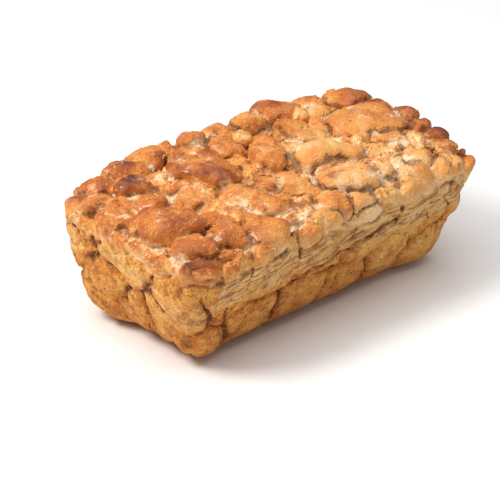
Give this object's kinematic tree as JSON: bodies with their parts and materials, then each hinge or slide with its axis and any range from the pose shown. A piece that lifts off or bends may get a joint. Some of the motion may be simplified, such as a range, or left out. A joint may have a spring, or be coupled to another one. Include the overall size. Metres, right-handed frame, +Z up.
{
  "type": "apple fritter bread loaf",
  "caption": "Whole tin-baked apple fritter bread: a tapered loaf of fused golden dough nuggets with baked apple dice showing in its craggy crust.",
  "frame": {"origin": "middle of the loaf's base, where it stands", "axes": "+X along the loaf towards its higher, overhanging end, +Y across the loaf, +Z up"},
  "size_m": [0.2238, 0.1286, 0.0817],
  "materials": {
    "crust": null,
    "apple": null
  },
  "bodies": {
    "root": {"loaf": "crust", "apple_1": "apple", "apple_2": "apple", "apple_3": "apple", "apple_4": "apple", "apple_5": "apple", "apple_6": "apple", "apple_7": "apple"}
  },
  "joints": []
}
